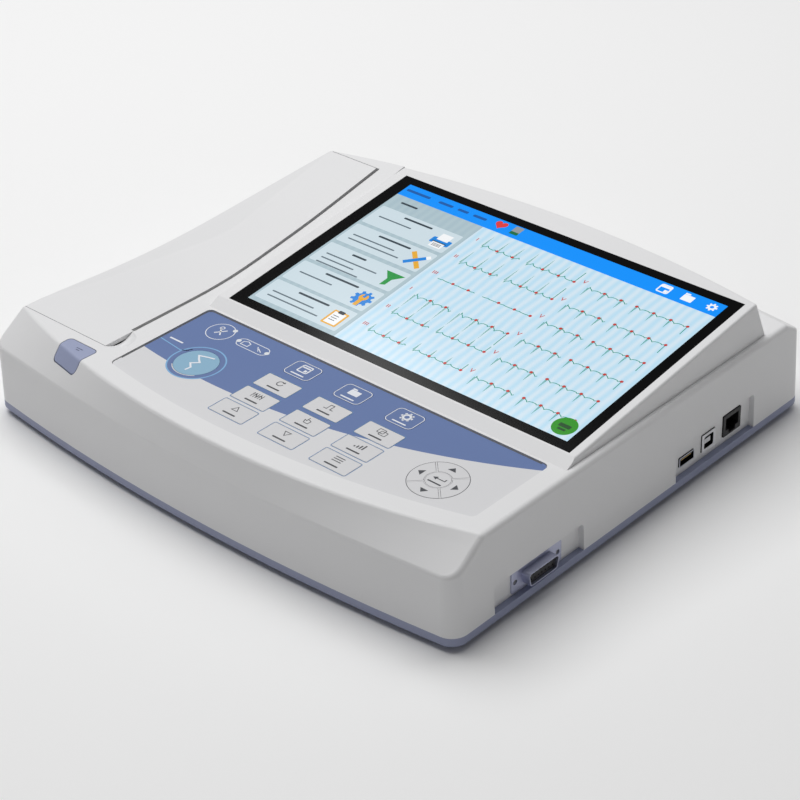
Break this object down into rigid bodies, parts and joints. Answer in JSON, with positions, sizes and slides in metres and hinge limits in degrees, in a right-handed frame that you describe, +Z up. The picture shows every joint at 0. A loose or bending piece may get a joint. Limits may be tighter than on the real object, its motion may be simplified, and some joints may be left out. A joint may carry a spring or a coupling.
{
  "type": "electrocardiograph",
  "caption": "Desktop ECG recorder: low white housing with bowed front, tilted colour display, membrane keypad, side-hinged printer lid and side sockets.",
  "frame": {"origin": "on the table under the middle of the housing", "axes": "+X right along the front, -Y the front with the keypad, +Z up"},
  "size_m": [0.3539, 0.3198, 0.0839],
  "materials": {
    "shell_white": "fine-grained white ABS",
    "tray_blue": "blue-grey ABS",
    "battery_wrap": "shrink-wrapped cells",
    "steel": "zinc-plated steel",
    "platen_rubber": "ground black rubber",
    "gear_white": "natural acetal",
    "brass": "turned brass",
    "head_ceramic": "glazed alumina",
    "aluminium": "extruded aluminium",
    "inner_grey": "moulded grey plastic",
    "chart_paper": "thermal chart paper",
    "button_lavender": "lavender plastic",
    "overlay_sheet": "printed membrane sheet",
    "circuit_board": "green solder mask",
    "led_lens": "clear lens",
    "cover_glass": "clear cover glass",
    "screen_panel": "liquid crystal panel",
    "plated_metal": "nickel plated",
    "socket_black": "black moulding",
    "socket_white": "white moulding",
    "rocker_black": "polished black plastic",
    "foot_rubber": "soft dark rubber",
    "start_blue": "printed blue key",
    "key_blue": "printed blue key",
    "key_grey": "printed grey key"
  },
  "bodies": {
    "housing": {"base_tray": "tray_blue", "top_shell": "shell_white", "battery_door": "tray_blue", "battery_pack": "battery_wrap", "hinge_pins": "steel", "stepper_motor": "steel", "motor_bracket": "steel", "printhead_ceramic": "head_ceramic", "printhead_heatsink": "aluminium", "coil_springs": "steel", "paper_tray": "inner_grey", "keypad_overlay": "overlay_sheet", "keypad_board": "circuit_board", "status_leds": "led_lens", "display_glass": "cover_glass", "lcd_panel": "screen_panel", "display_bracket": "steel", "main_board": "circuit_board", "supply_board": "circuit_board", "input_board": "circuit_board", "patient_connector_shell": "plated_metal", "patient_connector_insert": "socket_black", "usb_a_socket": "plated_metal", "usb_b_socket": "socket_white", "lan_socket": "socket_black", "mains_inlet": "socket_black", "rocker_housing": "socket_black", "earth_post": "plated_metal", "rubber_feet": "foot_rubber", "housing_screws": "steel"},
    "lid": {"printer_lid": "shell_white"},
    "platen": {"platen_rubber": "platen_rubber", "platen_shaft": "steel", "platen_gear": "gear_white"},
    "idler": {"idler_gear": "gear_white"},
    "pinion": {"motor_pinion": "brass"},
    "roll": {"roll_spindle": "inner_grey", "paper_roll": "chart_paper"},
    "release_button": {"lid_release_button": "button_lavender"},
    "latch": {"lid_latch": "inner_grey"},
    "rocker": {"power_rocker": "rocker_black"},
    "body_start": {"key_start": "start_blue"},
    "body_layout": {"key_layout": "key_blue"},
    "body_archive": {"key_archive": "key_blue"},
    "body_settings": {"key_settings": "key_blue"},
    "body_refresh": {"key_refresh": "key_grey"},
    "body_calibrate": {"key_calibrate": "key_grey"},
    "body_copy": {"key_copy": "key_grey"},
    "body_speed": {"key_speed": "key_grey"},
    "body_mode": {"key_mode": "key_grey"},
    "body_gain": {"key_gain": "key_grey"},
    "body_lead_up": {"key_lead_up": "key_grey"},
    "body_lead_down": {"key_lead_down": "key_grey"},
    "body_menu": {"key_menu": "key_grey"},
    "body_up": {"key_up": "key_grey"},
    "body_down": {"key_down": "key_grey"},
    "body_left": {"key_left": "key_grey"},
    "body_right": {"key_right": "key_grey"},
    "body_enter": {"key_enter": "key_grey"}
  },
  "joints": [
    {"name": "lid_hinge", "type": "hinge", "parent": "housing", "child": "lid", "pos_m": [-0.17, -0.0128, 0.0442], "axis": [0, -1, 0], "range_deg": [0, 75]},
    {"name": "platen_turn", "type": "hinge", "parent": "lid", "child": "platen", "pos_m": [-0.1092, -0.0137, 0.0495], "axis": [0, 1, 0], "continuous": true},
    {"name": "idler_turn", "type": "hinge", "parent": "housing", "child": "idler", "pos_m": [-0.10767, 0.092, 0.03192], "axis": [0, 1, 0], "continuous": true},
    {"name": "pinion_turn", "type": "hinge", "parent": "housing", "child": "pinion", "pos_m": [-0.09408, 0.092, 0.027], "axis": [0, 1, 0], "continuous": true},
    {"name": "roll_turn", "type": "hinge", "parent": "housing", "child": "roll", "pos_m": [-0.14, -0.0155, 0.033], "axis": [0, 1, 0], "continuous": true},
    {"name": "button_press", "type": "slide", "parent": "housing", "child": "release_button", "axis": [0, 0, -1], "range_m": [0, 0.0026], "stiffness_N_per_m": 400, "springref_m": -0.001},
    {"name": "latch_slide", "type": "slide", "parent": "housing", "child": "latch", "axis": [0, -1, 0], "range_m": [0, 0.0026]},
    {"name": "rocker_tilt", "type": "hinge", "parent": "housing", "child": "rocker", "pos_m": [0.092, 0.143, 0.028], "axis": [-1, 0, 0], "range_deg": [0, 16]},
    {"name": "press_start", "type": "slide", "parent": "housing", "child": "body_start", "axis": [0, 0, -1], "range_m": [0, 0.0005], "stiffness_N_per_m": 400, "springref_m": -0.0002},
    {"name": "press_layout", "type": "slide", "parent": "housing", "child": "body_layout", "axis": [0, 0, -1], "range_m": [0, 0.0005], "stiffness_N_per_m": 400, "springref_m": -0.0002},
    {"name": "press_archive", "type": "slide", "parent": "housing", "child": "body_archive", "axis": [0, 0, -1], "range_m": [0, 0.0005], "stiffness_N_per_m": 400, "springref_m": -0.0002},
    {"name": "press_settings", "type": "slide", "parent": "housing", "child": "body_settings", "axis": [0, 0, -1], "range_m": [0, 0.0005], "stiffness_N_per_m": 400, "springref_m": -0.0002},
    {"name": "press_refresh", "type": "slide", "parent": "housing", "child": "body_refresh", "axis": [0, 0, -1], "range_m": [0, 0.0005], "stiffness_N_per_m": 400, "springref_m": -0.0002},
    {"name": "press_calibrate", "type": "slide", "parent": "housing", "child": "body_calibrate", "axis": [0, 0, -1], "range_m": [0, 0.0005], "stiffness_N_per_m": 400, "springref_m": -0.0002},
    {"name": "press_copy", "type": "slide", "parent": "housing", "child": "body_copy", "axis": [0, 0, -1], "range_m": [0, 0.0005], "stiffness_N_per_m": 400, "springref_m": -0.0002},
    {"name": "press_speed", "type": "slide", "parent": "housing", "child": "body_speed", "axis": [0, 0, -1], "range_m": [0, 0.0005], "stiffness_N_per_m": 400, "springref_m": -0.0002},
    {"name": "press_mode", "type": "slide", "parent": "housing", "child": "body_mode", "axis": [0, 0, -1], "range_m": [0, 0.0005], "stiffness_N_per_m": 400, "springref_m": -0.0002},
    {"name": "press_gain", "type": "slide", "parent": "housing", "child": "body_gain", "axis": [0, 0, -1], "range_m": [0, 0.0005], "stiffness_N_per_m": 400, "springref_m": -0.0002},
    {"name": "press_lead_up", "type": "slide", "parent": "housing", "child": "body_lead_up", "axis": [0, 0, -1], "range_m": [0, 0.0005], "stiffness_N_per_m": 400, "springref_m": -0.0002},
    {"name": "press_lead_down", "type": "slide", "parent": "housing", "child": "body_lead_down", "axis": [0, 0, -1], "range_m": [0, 0.0005], "stiffness_N_per_m": 400, "springref_m": -0.0002},
    {"name": "press_menu", "type": "slide", "parent": "housing", "child": "body_menu", "axis": [0, 0, -1], "range_m": [0, 0.0005], "stiffness_N_per_m": 400, "springref_m": -0.0002},
    {"name": "press_up", "type": "slide", "parent": "housing", "child": "body_up", "axis": [0, 0, -1], "range_m": [0, 0.0005], "stiffness_N_per_m": 400, "springref_m": -0.0002},
    {"name": "press_down", "type": "slide", "parent": "housing", "child": "body_down", "axis": [0, 0, -1], "range_m": [0, 0.0005], "stiffness_N_per_m": 400, "springref_m": -0.0002},
    {"name": "press_left", "type": "slide", "parent": "housing", "child": "body_left", "axis": [0, 0, -1], "range_m": [0, 0.0005], "stiffness_N_per_m": 400, "springref_m": -0.0002},
    {"name": "press_right", "type": "slide", "parent": "housing", "child": "body_right", "axis": [0, 0, -1], "range_m": [0, 0.0005], "stiffness_N_per_m": 400, "springref_m": -0.0002},
    {"name": "press_enter", "type": "slide", "parent": "housing", "child": "body_enter", "axis": [0, 0, -1], "range_m": [0, 0.0005], "stiffness_N_per_m": 400, "springref_m": -0.0002}
  ],
  "couplings": [
    {"joint": "idler_turn", "follows": "platen_turn", "ratio": -0.83333},
    {"joint": "pinion_turn", "follows": "platen_turn", "ratio": 1.6667},
    {"joint": "latch_slide", "follows": "button_press", "ratio": 1}
  ]
}
